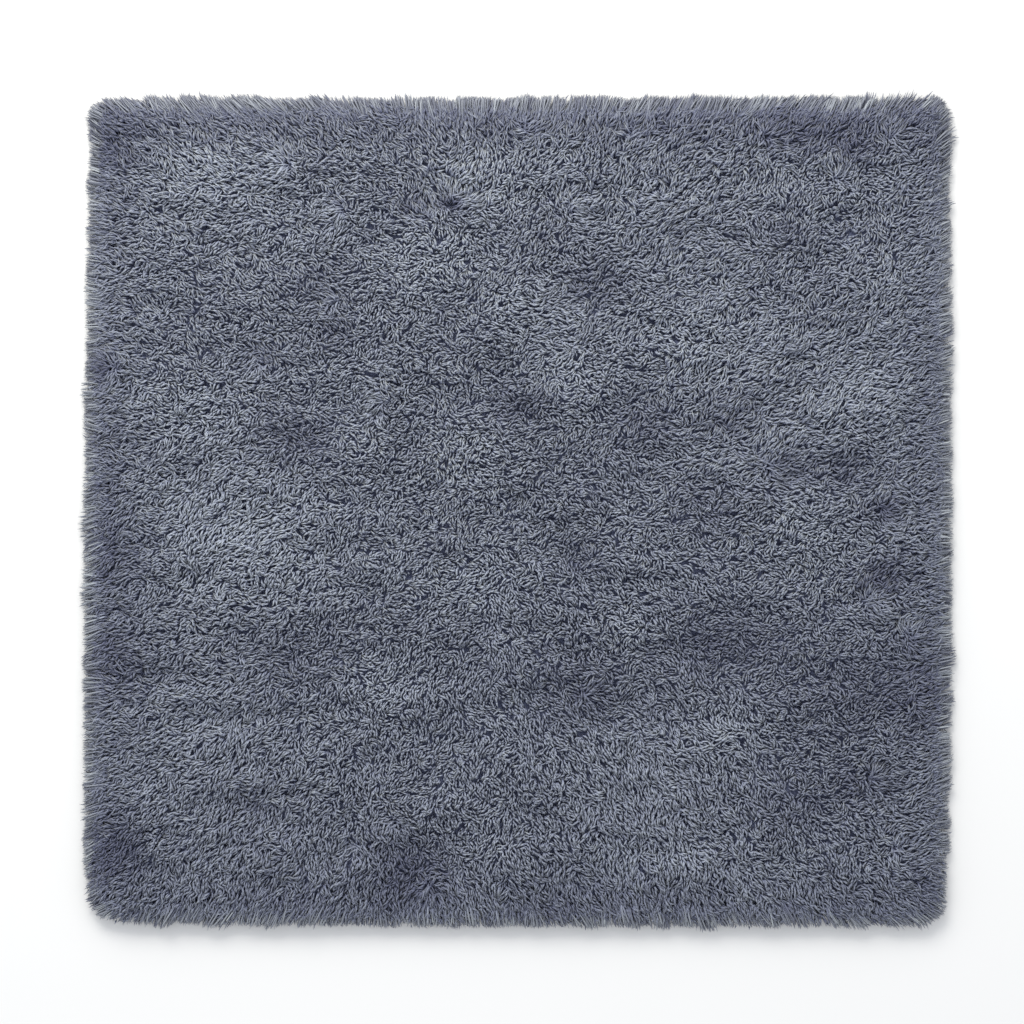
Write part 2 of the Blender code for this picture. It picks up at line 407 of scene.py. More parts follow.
# Painted shade: both ends of this ramp are darker than the locks' colours.
bed_painted_shade_colour = add_node(packed_fibre_painted_shade, "ShaderNodeValToRGB", (), {"Fac": bed_noise.outputs["Fac"]})
bed_painted_shade_colour.color_ramp.elements[0].position = 0.35
bed_painted_shade_colour.color_ramp.elements[0].color = linear("#2c3046")
bed_painted_shade_colour.color_ramp.elements[1].position = 0.65
bed_painted_shade_colour.color_ramp.elements[1].color = linear("#5a6077")
bed_bump = add_node(
    packed_fibre_painted_shade,
    "ShaderNodeBump",
    {"Strength": 1.0, "Distance": 1.5 * MM},
    {"Height": bed_noise.outputs["Fac"]},
)
packed_fibre_painted_shade.node_tree.links.new(bed_painted_shade_colour.outputs["Color"], bed_shader.inputs["Base Color"])
packed_fibre_painted_shade.node_tree.links.new(bed_bump.outputs["Normal"], bed_shader.inputs["Normal"])

bed = finished(as_mesh("fibre_bed", bed_maker), packed_fibre_painted_shade)
bed.data.shade_smooth()

# ---- Rim pile
# The locks rooted along the cloth's edge: polyester fibres that cling together in locks 2.5 mm thick with a
# pointed tip. They are stitched into the cloth and fall outwards over its edge to the rug's outline.

# The locks are rooted in two layers, in a band along the cloth's edge, and cling in clumps.
RIM_LAYERS = 2
RIM_SPACING = 3.9 * MM
RIM_JITTER = 0.35
RIM_CLUMP_SPACING = 14 * MM
RIM_BAND_START = 0.5 * MM
RIM_BAND = 0.012
FAR_EXTRA_BAND = 0.010
RIM_ROOT_LEVEL = 0.005

# A lock's width and the spread of it, the levels of its rings with their shares of its width, and its roll in
# degrees either way.
RIM_LOCK_WIDTH = 2.5 * MM
RIM_WIDTHS = (0.8, 1.2)
RIM_LOCK_RINGS = ((0.0, 0.85), (0.45, 1.0), (0.90, 0.85))
LOCK_ROLL = 60
LOWEST_FIBRE = 0.4 * MM

# Its direction is the combing's and in part straight outwards, and wavers and scatters by these degrees.
STROKE_REACH = 60
FAN_RUN = 0.080
RIM_OUTWARD = 0.40
RIM_WAVER = 18
RIM_WAVER_SIZE = 0.050
RIM_SCATTER = 4

# It falls until its tip is this far inside the outline, with a scatter for the lock and one for its clump.
RIM_STOP = -2.3 * MM
RIM_STOP_SCATTER = 1.0 * MM
CLUMP_STOP_SCATTER = 2.0 * MM
INNER_STOP = 0.008
NEAR_STOP = 4.0 * MM
FAR_STOP = 0.5 * MM
LONGEST_FALL = 0.110
SHORTEST_FALL = 0.004
FALL_HALVINGS = 14

# It curls to a side, and is drawn towards its clump. The lowest locks lie at this share of the pile's height.
RIM_CURL = 0.10
RIM_GATHERING = 0.14
LOWEST_LAYER = 0.35

# Its curve has two control points between its root and tip, at these shares of its fall. They stand above the
# pile, because the curve passes below them. The curl and the clump move the second point and the tip.
RISE_AT = 0.10
RISE_LIFT = 1.15
OVER_AT = 0.60
OVER_LIFT = 1.2
OVER_CURL = 0.3
OVER_GATHERING = 0.35
TIP_CURL = 0.5

# Its tip lies low. It lies higher with a root deeper in the band, and with a higher level in the pile.
TIP_LEVEL = 0.0015
TIP_RISE = 0.002
DEEP_TIP_RISE = 0.006
TOP_TIP_RISE = 0.004

# Painted shade: the rim's locks are darker than the inner ones and the lower locks darker still, and so are
# those of the far side, which would be too pale in the light, and a little those of the near side.
RIM_SHADE = 0.15
RIM_LEVEL_PAINTED_SHADE = 0.30
NEAR_RIM_PAINTED_SHADE = 0.04
FAR_RIM_PAINTED_SHADE = 0.20
RIM_SHADE_SCATTER = 0.14
RIM_CLUMP_SHADE_SCATTER = 0.10

# How the pile has been combed: places in millimetres from the rug's middle, and the direction that the locks
# there fall in, in degrees anticlockwise from +X.
Stroke = namedtuple("Stroke", "x y heading")
STROKES = (
    # Along the far side.
    Stroke(-560, 540, 150),
    Stroke(-450, 510, 146),
    Stroke(-340, 515, 148),
    Stroke(-220, 515, 138),
    Stroke(-120, 530, 110),
    Stroke(-20, 530, 84),
    Stroke(60, 530, 77),
    Stroke(180, 520, 52),
    Stroke(330, 520, 42),
    Stroke(470, 520, 46),
    Stroke(570, 530, 42),
    # Down the +X side.
    Stroke(560, 420, 40),
    Stroke(560, 270, 36),
    Stroke(560, 110, 20),
    Stroke(560, -60, 4),
    Stroke(560, -220, 18),
    Stroke(560, -350, 28),
    Stroke(560, -440, 8),
    Stroke(560, -530, -34),
    # Along the near side.
    Stroke(420, -510, -42),
    Stroke(300, -510, -54),
    Stroke(180, -500, -68),
    Stroke(60, -510, -60),
    Stroke(-60, -520, -74),
    Stroke(-150, -520, -82),
    Stroke(-240, -510, -112),
    Stroke(-340, -510, -132),
    Stroke(-440, -520, -124),
    Stroke(-560, -530, -134),
    # Up the -X side.
    Stroke(-560, -410, -150),
    Stroke(-560, -250, -172),
    Stroke(-560, -150, -154),
    Stroke(-550, -30, -148),
    Stroke(-560, 90, 180),
    Stroke(-560, 220, 184),
    Stroke(-560, 370, 168),
    # Over the middle, from the far side to the near one.
    Stroke(-375, 440, 194),
    Stroke(-280, 440, 206),
    Stroke(-200, 340, 194),
    Stroke(-30, 437, 30),
    Stroke(140, 437, 42),
    Stroke(270, 400, 26),
    Stroke(-370, 265, 145),
    Stroke(-230, 250, 178),
    Stroke(60, 265, 5),
    Stroke(240, 265, 16),
    Stroke(420, 300, 34),
    Stroke(-400, 150, 206),
    Stroke(-250, 110, 190),
    Stroke(230, 170, 46),
    Stroke(380, 160, 32),
    Stroke(480, 90, 12),
    Stroke(-400, 0, 222),
    Stroke(-250, 0, 202),
    Stroke(-60, 10, 30),
    Stroke(180, 0, -18),
    Stroke(420, -70, 22),
    Stroke(-120, -78, 212),
    Stroke(-420, -200, 188),
    Stroke(-370, -330, 230),
    Stroke(-250, -280, 228),
    Stroke(380, -160, 6),
    Stroke(80, -260, -18),
    Stroke(220, -320, -40),
    Stroke(40, -340, -86),
    Stroke(160, -420, -78),
    Stroke(-90, -420, -96),
    Stroke(-200, -420, -110),
    Stroke(-400, -420, 234),
    Stroke(330, -400, -60),
)

draws = np.random.default_rng(SEED)


def jittered_grid(spacing, jitter):
    """Places this far apart over the whole rug, give or take a share of it."""
    columns = int(2 * HALF_WIDTH / spacing)
    rows = int(2 * HALF_DEPTH / spacing)
    x, y = np.meshgrid(
        (np.arange(columns) + 0.5) / columns * 2 * HALF_WIDTH - HALF_WIDTH,
        (np.arange(rows) + 0.5) / rows * 2 * HALF_DEPTH - HALF_DEPTH,
    )
    places = np.stack([x.ravel(), y.ravel(), np.zeros(x.size)], axis=1)
    places[:, :2] += draws.uniform(-jitter, jitter, (len(places), 2)) * spacing
    return places


def headed(angle):
    """Level unit vectors at these angles."""
    return np.stack([np.cos(angle), np.sin(angle), np.zeros_like(angle)], axis=-1)


def combing(places):
    """How the pile has been combed at each place: a level vector, as long as 1 where it all falls one way."""
    fall = np.zeros((len(places), 3))
    felt = np.zeros((len(places), 1))
    for stroke in STROKES:
        away = np.hypot(places[:, 0] / MM - stroke.x, places[:, 1] / MM - stroke.y) / STROKE_REACH
        weight = 1 / (1 + away[:, None] ** 2) ** 2
        fall += headed(np.array([math.radians(stroke.heading)])) * weight
        felt += weight
    return fall / felt


def outward(places):
    """Level direction away from the rug, fanned round the corners. Over the rug's middle it is nothing."""
    middle = np.array([HALF_WIDTH, HALF_DEPTH]) - LOCK_REACH - FAN_RUN
    out = np.zeros((len(places), 3))
    out[:, :2] = places[:, :2] - np.clip(places[:, :2], -middle, middle)
    return out / np.maximum(np.linalg.norm(out, axis=1), 1e-6)[:, None]


def in_clumps(spacing, places):
    """The middles of clumps about this far apart, and the clump that each lock at these places clings to."""
    clumps = jittered_grid(spacing, 0.5)
    nearest = kdtree.KDTree(len(clumps))
    for index, clump in enumerate(clumps):
        nearest.insert(clump, index)
    nearest.balance()
    return clumps, np.array([nearest.find((x, y, 0.0))[1] for x, y in places[:, :2]])


def gathered(tips, clumps, clump_of, share):
    """How far each tip is drawn towards the middle of its clump's tips, level."""
    members = np.maximum(np.bincount(clump_of, minlength=len(clumps)), 1)
    middle = np.stack([np.bincount(clump_of, tips[:, i], len(clumps)) / members for i in range(2)], axis=1)
    pull = np.zeros_like(tips)
    pull[:, :2] = (middle[clump_of] - tips[:, :2]) * share[:, None]
    return pull


def straight_lock(rings):
    """One three-sided lock of unit height, root down, with a width at each ring and a pointed tip."""
    lock = bmesh.new()
    bmesh.ops.create_cone(
        lock,
        cap_ends=True,
        segments=3,
        radius1=0.5,
        radius2=0.5,
        depth=1.0,
        matrix=Matrix.Translation((0.0, 0.0, 0.5)),
    )
    for level, _ in rings[1:]:
        whole = lock.verts[:] + lock.edges[:] + lock.faces[:]
        bmesh.ops.bisect_plane(lock, geom=whole, plane_co=(0.0, 0.0, level), plane_no=(0.0, 0.0, 1.0))
    top = [vert for vert in lock.verts if vert.co.z > 0.99]
    bmesh.ops.pointmerge(lock, verts=top, merge_co=(0.0, 0.0, 1.0))
    if rings[0][1] == 0:
        bottom = [vert for vert in lock.verts if vert.co.z < 0.01]
        bmesh.ops.pointmerge(lock, verts=bottom, merge_co=(0.0, 0.0, 0.0))
    for vert in lock.verts:
        for level, width in rings:
            if abs(vert.co.z - level) < 0.01:
                vert.co.x *= width
                vert.co.y *= width
    bmesh.ops.recalc_face_normals(lock, faces=lock.faces[:])
    lock.verts.index_update()
    return lock


def lock_map(lock):
    """A map of the straight lock for every face corner: round it, and from its root at 0 to its tip at 1."""
    places = []
    for face in lock.faces:
        centre = face.calc_center_median()
        turn = math.atan2(centre.y, centre.x) / (2 * math.pi) + 0.5
        for loop in face.loops:
            place = loop.vert.co
            around = math.atan2(place.y, place.x) / (2 * math.pi) + 0.5
            around = turn if math.hypot(place.x, place.y) < 0.01 else around + round(turn - around)
            along = place.z if centre.z > 0.01 else 0.03 * (place.y + 0.5)
            places.append((around, along))
    return np.array(places)


def bent(lock, curve, sideways, widths):
    """Places of the vertices of copies of a lock, each bent along its own curve of four control points."""
    verts = np.array([vert.co for vert in lock.verts])
    s = verts[:, 2][None, :, None]
    p0, p1, p2, p3 = (points[:, None, :] for points in curve)
    path = p0 * (1 - s) ** 3 + p1 * 3 * s * (1 - s) ** 2 + p2 * 3 * s * s * (1 - s) + p3 * s**3
    run = (p1 - p0) * 3 * (1 - s) ** 2 + (p2 - p1) * 6 * s * (1 - s) + (p3 - p2) * 3 * s * s
    run /= np.linalg.norm(run, axis=2)[:, :, None]
    across = np.broadcast_to(sideways[:, None, :], run.shape)
    across = across - run * (across * run).sum(axis=2)[:, :, None]
    across /= np.linalg.norm(across, axis=2)[:, :, None]
    up = np.cross(run, across)
    roll = np.radians(draws.uniform(-LOCK_ROLL, LOCK_ROLL, len(widths)))[:, None]
    vert_x = verts[None, :, 0] * np.cos(roll) - verts[None, :, 1] * np.sin(roll)
    vert_y = verts[None, :, 0] * np.sin(roll) + verts[None, :, 1] * np.cos(roll)
    placed = path + (across * vert_x[:, :, None] + up * vert_y[:, :, None]) * widths[:, None, None]
    placed[:, :, 2] = np.maximum(placed[:, :, 2], LOWEST_FIBRE)
    return placed


# Long polyester pile, crimped and cut: matt fibre, with painted shade darkening it towards its roots, where
# the locks crowd, and paler towards its tips, with a soft sheen. Its map runs up a lock from root to tip, and
# sideways through the locks' shades, which hold their tones together with painted light and shade. Each lock
# takes a narrow span of the shades. They start at the darkest, which is the bluest so that painted shade is
# bluer, and gain on it.
SHADE_SPAN = 0.06
SHADE_LIMITS = (0.02, 0.98)
DARKEST_SHADE = (0.30, 0.30, 0.40)
SHADE_GAIN = (1.0, 1.0, 0.84)
pile_fibre, pile_shader = new_material("long_polyester_pile")
pile_shader.inputs["Roughness"].default_value = 0.7
pile_shader.inputs["IOR"].default_value = 1.53
pile_shader.inputs["Sheen Weight"].default_value = 0.2
pile_shader.inputs["Sheen Roughness"].default_value = 0.4
pile_shader.inputs["Sheen Tint"].default_value = linear("#d0d3d8")
pile_map = add_node(pile_fibre, "ShaderNodeUVMap", {"uv_map": "OFBake"})
pile_axes = add_node(pile_fibre, "ShaderNodeSeparateXYZ", (), {"Vector": pile_map.outputs["UV"]})
root_to_tip = add_node(pile_fibre, "ShaderNodeValToRGB", (), {"Fac": pile_axes.outputs["Y"]})
ramp = root_to_tip.color_ramp
# Painted shade: the colours darken towards the root, where the locks crowd.
ramp.elements[0].color = linear("#566094")
ramp.elements[1].color = linear("#a6aaae")
for position, colour in ((0.15, "#69729e"), (0.4, "#848a9d"), (0.75, "#989da2")):
    ramp.elements.new(position).color = linear(colour)
shades = add_node(
    pile_fibre,
    "ShaderNodeVectorMath",
    {"operation": "MULTIPLY_ADD", 1: SHADE_GAIN, 2: DARKEST_SHADE},
    {0: pile_axes.outputs["X"]},
)
# The shade of a lock, its tone with painted light and shade, darkens or pales the colours of its run from
# root to tip.
pile_colour = add_node(
    pile_fibre,
    "ShaderNodeVectorMath",
    {"operation": "MULTIPLY"},
    {0: root_to_tip.outputs["Color"], 1: shades.outputs["Vector"]},
)
pile_fibre.node_tree.links.new(pile_colour.outputs["Vector"], pile_shader.inputs["Base Color"])


def pile_piece(name, lock, placed, shade):
    """Joins the bent copies of a lock into one piece of pile, each in its own shade of tone and painted
    light.
    """
    corners = [[loop.vert.index for loop in face.loops] for face in lock.faces]
    face_sizes = np.array([len(face) for face in corners])
    corner_verts = np.concatenate([np.array(face) for face in corners])
    locks = len(placed)
    mesh = bpy.data.meshes.new(name)
    mesh.vertices.add(placed.shape[0] * placed.shape[1])
    mesh.vertices.foreach_set("co", placed.astype(np.float32).ravel())
    mesh.loops.add(locks * len(corner_verts))
    every_corner = corner_verts[None, :] + np.arange(locks)[:, None] * placed.shape[1]
    mesh.loops.foreach_set("vertex_index", every_corner.astype(np.int32).ravel())
    mesh.polygons.add(locks * len(face_sizes))
    sizes = np.tile(face_sizes, locks)
    mesh.polygons.foreach_set("loop_start", (np.cumsum(sizes) - sizes).astype(np.int32))
    mesh.update(calc_edges=True)
    mesh.validate()
    lock_places = lock_map(lock)
    across = shade[:, None] * (1 - SHADE_SPAN) + lock_places[None, :, 0] * SHADE_SPAN
    along = np.broadcast_to(lock_places[None, :, 1], across.shape)
    layer = mesh.uv_layers.new(name="OFBake")
    layer.uv.foreach_set("vector", np.stack([across, along], axis=2).astype(np.float32).ravel())
    mesh.shade_smooth()
    return finished(mesh, pile_fibre)


def rim_band(places):
    """How far in from the cloth's edge the long locks of the rim are rooted: further along the far side."""
    return RIM_BAND + FAR_EXTRA_BAND * far_side(places)


rim_layers = []
for _ in range(RIM_LAYERS):
    roots = jittered_grid(RIM_SPACING, RIM_JITTER)
    cloth_in = inside_by(roots) - LOCK_REACH
    rim_layers.append(roots[(cloth_in > RIM_BAND_START) & (cloth_in < rim_band(roots))])
roots = np.concatenate(rim_layers)
roots[:, 2] = RIM_ROOT_LEVEL
count = len(roots)
deep = (inside_by(roots) - LOCK_REACH) / rim_band(roots)
clumps, clump_of = in_clumps(RIM_CLUMP_SPACING, roots)

toward = outward(roots) * RIM_OUTWARD + combing(roots)
heading = np.arctan2(toward[:, 1], toward[:, 0])
heading += np.radians(RIM_WAVER) * waver(roots, RIM_WAVER_SIZE, SEED + 7)
heading += np.radians(draws.normal(0, RIM_SCATTER, len(clumps)))[clump_of]
heading += np.radians(draws.normal(0, RIM_SCATTER, count))
fall_way, side_way = headed(heading), headed(heading + math.pi / 2)

# The locks nearest the rim reach its outline, give or take a little, and the others stop short of it. How far
# each one falls is found by halving.
level = draws.random(count)
goal = draws.normal(RIM_STOP, RIM_STOP_SCATTER, count)
goal += draws.normal(0, CLUMP_STOP_SCATTER, len(clumps))[clump_of]
goal += INNER_STOP * np.maximum(deep - 0.5, 0.0) + NEAR_STOP * far_side(-roots) + FAR_STOP * far_side(roots)
longest, shortest = np.full(count, LONGEST_FALL), np.full(count, SHORTEST_FALL)
for _ in range(FALL_HALVINGS):
    middle = (longest + shortest) / 2
    short = inside_by(roots + fall_way * middle[:, None]) > goal
    shortest, longest = np.where(short, middle, shortest), np.where(short, longest, middle)
fall = shortest

curl = draws.normal(0, RIM_CURL, count) + draws.normal(0, RIM_CURL, len(clumps))[clump_of]
rise = roots + fall_way * (RISE_AT * fall)[:, None]
over = roots + fall_way * (OVER_AT * fall)[:, None] - side_way * (OVER_CURL * curl * fall)[:, None]
tips = roots + fall_way * fall[:, None] + side_way * (TIP_CURL * curl * fall)[:, None]
pull = gathered(tips, clumps, clump_of, draws.uniform(0.0, RIM_GATHERING, len(clumps))[clump_of])
tips += pull
over += pull * OVER_GATHERING
layer = LOWEST_LAYER + (1 - LOWEST_LAYER) * level
rise[:, 2] = pile_height(rise) * layer * RISE_LIFT
over[:, 2] = pile_height(over) * layer * OVER_LIFT
tips[:, 2] = TIP_LEVEL + (TIP_RISE + DEEP_TIP_RISE * deep) * level + TOP_TIP_RISE * level * level
tips[:, 2] += NEAR_LIFT * far_side(-roots)

rim_lock = straight_lock(RIM_LOCK_RINGS)
rim_widths = RIM_LOCK_WIDTH * draws.uniform(*RIM_WIDTHS, count)
rim_placed = bent(rim_lock, (roots, rise, over, tips), side_way, rim_widths)
# Painted shade on the rim's locks, with a random scatter of tone.
rim_tone_and_painted_shade = RIM_SHADE + RIM_LEVEL_PAINTED_SHADE * level
rim_tone_and_painted_shade -= NEAR_RIM_PAINTED_SHADE * far_side(-roots) + FAR_RIM_PAINTED_SHADE * far_side(roots)
rim_tone_and_painted_shade += RIM_SHADE_SCATTER * draws.normal(0, 1, count)
rim_tone_and_painted_shade += RIM_CLUMP_SHADE_SCATTER * draws.normal(0, 1, len(clumps))[clump_of]
rim_tone_and_painted_shade = np.clip(rim_tone_and_painted_shade, *SHADE_LIMITS)
for name, chosen in (("rim_pile_far", roots[:, 1] >= 0), ("rim_pile_near", roots[:, 1] < 0)):
    pile_piece(name, rim_lock, rim_placed[chosen], rim_tone_and_painted_shade[chosen])

# ---- Inner pile
# The polyester locks over the rest of the rug, stitched into the cloth like those of the rim. They stand
# closer and fall less far, and cling in clumps, in curved rows. Only the outer half of each lock is made,
# because the bed hides the rest, so it is pointed at both ends.

INNER_SPACING = 3.35 * MM
INNER_JITTER = 0.4
INNER_CLUMP_SPACING = 12 * MM
INNER_ROW_PITCH = 3.9 * MM
ROW_SCATTER = 0.17
INNER_LOCK_WIDTH = 2.7 * MM
INNER_WIDTHS = (0.75, 1.2)
INNER_LOCK_RINGS = ((0.0, 0.0), (0.5, 1.0))
INNER_STRIPS = 5

# A lock's lift is its share of the pile's height, with some scatter for its clump. Its root has a share of
# its own, and its other three control points have shares of the lift. The middle two stand at these shares of
# its fall, from its middle.
LOW_LIFT = 0.84
LEVEL_LIFT = 0.18
CLUMP_LIFT = 0.05
INNER_ROOT_SHARE = 0.62
INNER_RISE_AT = -0.35
INNER_RISE_LIFT = 1.10
INNER_OVER_AT = 0.22
INNER_OVER_LIFT = 1.12
INNER_TIP_LIFTS = (0.82, 0.94)

# The short locks stop this far inside the outline, and further inside along the far side.
BARE_RIM = 0.010
BARE_SCATTER = 4 * MM
FAR_BARE = 0.006
FAR_BARE_WAVER = 0.010
FAR_BARE_WAVER_SIZE = 0.040

# A clump's direction is the combing's and in part straight outwards. It wavers in wide and in fine eddies, in
# degrees, and is scattered. Its rows bend, in radians a metre, and draw together ahead, by a share.
COMB_PULL = 0.7
INNER_OUTWARD = 0.3
EDDY = 80
EDDY_SIZE = 0.060
FINE_EDDY = 60
FINE_EDDY_SIZE = 0.024
CLUMP_SCATTER = 36
CLUMP_BEND = 60
CLUMP_PINCH = (-0.1, 0.45)
LOCK_SCATTER = 15
LOCK_BEND = 45

# Shares of the fine eddies and bends, and of the scatter, that are left where the pile lies smooth.
SMOOTH_EDDIES = 0.2
SMOOTH_SCATTER = 0.45

# How far a lock falls: further where the pile lies smooth and in a tuft, and near the rim no further than
# RIM_FALL times its way to the outline.
INNER_FALL = 0.014
INNER_FALLS = (0.55, 1.2)
SMOOTH_FALL = 0.6
TUFT_FALL = 1.2
RIM_FALL = 1.8
RIM_FALL_START = 4 * MM

# Shades of the locks: the upper ones are paler and the lower darker, as painted shade, the mounds paler and
# the hollows darker, as painted light and shade, and some random patches paler in tone. Painted shade darkens
# them towards the rim, and along the far and near sides by these shares more.
INNER_SHADE = 0.50
LEVEL_PAINTED_SHADE = 0.24
PATCH_SHADE = 0.14
PATCH_SIZE = 0.130
SHADE_SCATTER = 0.06
SWELL_PAINTED_LIGHT_AND_SHADE = 105
RIM_PAINTED_SHADE = 0.29
RIM_PAINTED_SHADE_START = 0.010
RIM_PAINTED_SHADE_RUN = 0.100
FAR_PAINTED_SHADE_SHARE = 0.8
NEAR_PAINTED_SHADE_SHARE = 0.4

# Where long strokes have laid the pile smooth, in millimetres. Elsewhere it has been stirred up, and so the
# more the further it is from the rim.
STIR_START = 0.015
STIR_RUN = 0.110
COMBED_CALM = 0.7
Combed = namedtuple("Combed", "x y across")
COMBED = (
    Combed(-420, 480, 240),
    Combed(230, 400, 240),
    Combed(60, 265, 100),
    Combed(480, 200, 260),
    Combed(320, 130, 200),
    Combed(-400, 0, 220),
    Combed(-420, -270, 220),
    Combed(-380, -440, 260),
    Combed(190, -400, 260),
)

# Whorls, in millimetres: the clumps round the middle of one fall away from it, turned by this many degrees.
# At 0 degrees they part there, and at 90 they swirl round it. It calms the eddies by this share.
WHORL_CALM = 0.5
Whorl = namedtuple("Whorl", "x y across turn")
WHORLS = (
    Whorl(-91, 424, 60, 10),
    Whorl(11, 524, 36, 0),
    Whorl(356, 395, 110, 80),
    Whorl(512, 518, 40, 0),
    Whorl(158, 520, 34, 20),
    Whorl(342, 520, 38, 10),
    Whorl(435, 461, 50, 30),
    Whorl(197, 444, 50, 70),
    Whorl(72, 419, 60, 10),
    Whorl(-316, 482, 70, 10),
    Whorl(-240, 419, 50, 30),
    Whorl(-249, 288, 50, 60),
    Whorl(-555, 198, 50, 10),
    Whorl(-353, 204, 50, 30),
    Whorl(-185, 150, 60, 50),
    Whorl(502, 4, 50, 20),
    Whorl(350, 62, 50, 30),
    Whorl(481, -121, 50, 10),
    Whorl(86, -66, 60, 60),
    Whorl(537, -170, 44, 20),
    Whorl(488, -364, 60, 20),
    Whorl(520, -468, 60, 50),
    Whorl(-166, -426, 60, 0),
    Whorl(-125, -516, 60, 10),
    Whorl(-222, -461, 40, 30),
    Whorl(90, -250, 60, 30),
)

# Tufts, in millimetres: the locks ahead of each place fan out from a small dark pit at the tuft's foot. The
# pit is open for this share of the tuft's width, and the locks are turned this share of the way.
TUFT_OPENING = 0.07
TUFT_TURN = 0.75
TUFT_LEAST_WAY = 0.1 * MM
Tuft = namedtuple("Tuft", "x y across")
TUFTS = (
    Tuft(-91, 424, 90),
    Tuft(-122, 404, 56),
    Tuft(11, 522, 50),
    Tuft(512, 516, 50),
    Tuft(158, 516, 44),
    Tuft(342, 516, 50),
    Tuft(435, 459, 50),
    Tuft(72, 414, 50),
    Tuft(-316, 478, 60),
    Tuft(-240, 414, 60),
    Tuft(-249, 288, 44),
    Tuft(-550, 198, 60),
    Tuft(-349, 205, 50),
    Tuft(-185, 151, 44),
    Tuft(498, 4, 60),
    Tuft(346, 61, 44),
    Tuft(477, -121, 60),
    Tuft(533, -170, 50),
    Tuft(484, -362, 50),
    Tuft(516, -465, 50),
    Tuft(-166, -422, 60),
    Tuft(-125, -512, 60),
    Tuft(-220, -457, 44),
    Tuft(89, -247, 44),
)


def stirred(places):
    """How much the pile has been stirred up at each place: 1 away from the rim and from the combed places."""
    share = smooth_step((inside_by(places) - STIR_START) / STIR_RUN)
    for area in COMBED:
        away = np.hypot(places[:, 0] / MM - area.x, places[:, 1] / MM - area.y) / (area.across / 2)
        share *= 1 - COMBED_CALM * np.exp(-away * away)
    return share


def whorled(places, heading):
    """The headings of clumps at these places, turned by the whorls, and how firmly a whorl holds each one."""
    fall = headed(heading)
    held = np.zeros(len(places))
    for whorl in WHORLS:
        out_x, out_y = places[:, 0] / MM - whorl.x, places[:, 1] / MM - whorl.y
        away = np.hypot(out_x, out_y) / (whorl.across / 2)
        weight = np.exp(-away * away)
        fall += (headed(np.arctan2(out_y, out_x) + math.radians(whorl.turn)) - fall) * weight[:, None]
        held = np.maximum(held, weight)
    return np.arctan2(fall[:, 1], fall[:, 0]), held


def tufted(places, heading):
    """The places and headings of locks, fanned out by the tufts, and how firmly a tuft holds each lock."""
    heading = heading.copy()
    held = np.zeros(len(places))
    for tuft in TUFTS:
        foot = np.array([[tuft.x, tuft.y, 0.0]]) * MM
        ahead_x, ahead_y = combing(foot)[0, :2]
        off = places - foot
        away = np.maximum(np.linalg.norm(off, axis=1), TUFT_LEAST_WAY)
        angle = np.arctan2(off[:, 1], off[:, 0])
        ahead = smooth_step(0.5 + np.cos(angle - math.atan2(ahead_y, ahead_x)))
        weight = ahead * np.exp(-((away / (tuft.across / 2 * MM)) ** 2))
        turn = (angle - heading + math.pi) % (2 * math.pi) - math.pi
        heading += TUFT_TURN * weight * turn
        held = np.maximum(held, weight)
        reach = TUFT_OPENING * tuft.across * MM
        places = places + off * (reach / away * np.exp(-away / reach))[:, None]
    return places, heading, held


def in_rows(places, clumps, clump_of, headings, bends, pinches):
    """The places and headings of locks, laid side by side in the curved rows of their clumps."""
    heading = headings[clump_of]
    along_way, across_way = headed(heading), headed(heading + math.pi / 2)
    away = places - clumps[clump_of]
    along = (away * along_way).sum(axis=1)
    across = (away * across_way).sum(axis=1)
    phase = draws.random(len(clumps))[clump_of]
    across = (np.round(across / INNER_ROW_PITCH + phase) - phase) * INNER_ROW_PITCH
    across += draws.normal(0, ROW_SCATTER * INNER_ROW_PITCH, len(places))
    pinch = pinches[clump_of] * np.clip(0.5 + along / INNER_CLUMP_SPACING, 0, 1)
    bend = bends[clump_of]
    turn = bend * along
    placed = clumps[clump_of] + along_way * (np.sin(turn) / bend)[:, None]
    placed += across_way * ((1 - np.cos(turn)) / bend)[:, None]
    heading = heading + turn
    placed += headed(heading + math.pi / 2) * (across * (1 - pinch))[:, None]
    return placed, heading - np.arctan(pinches[clump_of] * across / INNER_CLUMP_SPACING)


def bare_rim(places):
    """How far inside the outline the short locks stop: the long ones of the far side lie open for longer."""
    extra = FAR_BARE + FAR_BARE_WAVER * waver(places, FAR_BARE_WAVER_SIZE, SEED + 31)
    return BARE_RIM + extra * far_side(places)


# Each lock starts as its middle, so that the locks cover the rug evenly however they lie.
places = jittered_grid(INNER_SPACING, INNER_JITTER)
places = places[inside_by(places) >= bare_rim(places) + draws.normal(0, BARE_SCATTER, len(places))]
count = len(places)
clumps, clump_of = in_clumps(INNER_CLUMP_SPACING, places)
stir = stirred(clumps)
toward = outward(clumps) * (1 - stir)[:, None] * INNER_OUTWARD
toward += combing(clumps) * (COMB_PULL + (1 - COMB_PULL) * stir)[:, None]
clump_heading, held = whorled(clumps, np.arctan2(toward[:, 1], toward[:, 0]))
loose = 1 - WHORL_CALM * held
eddies = SMOOTH_EDDIES + (1 - SMOOTH_EDDIES) * stir
scatter = SMOOTH_SCATTER + (1 - SMOOTH_SCATTER) * stir
clump_heading += np.radians(EDDY) * stir * loose * waver(clumps, EDDY_SIZE, SEED + 5)
clump_heading += np.radians(FINE_EDDY) * eddies * loose * waver(clumps, FINE_EDDY_SIZE, SEED + 7)
clump_heading += np.radians(draws.normal(0, CLUMP_SCATTER, len(clumps))) * scatter * loose
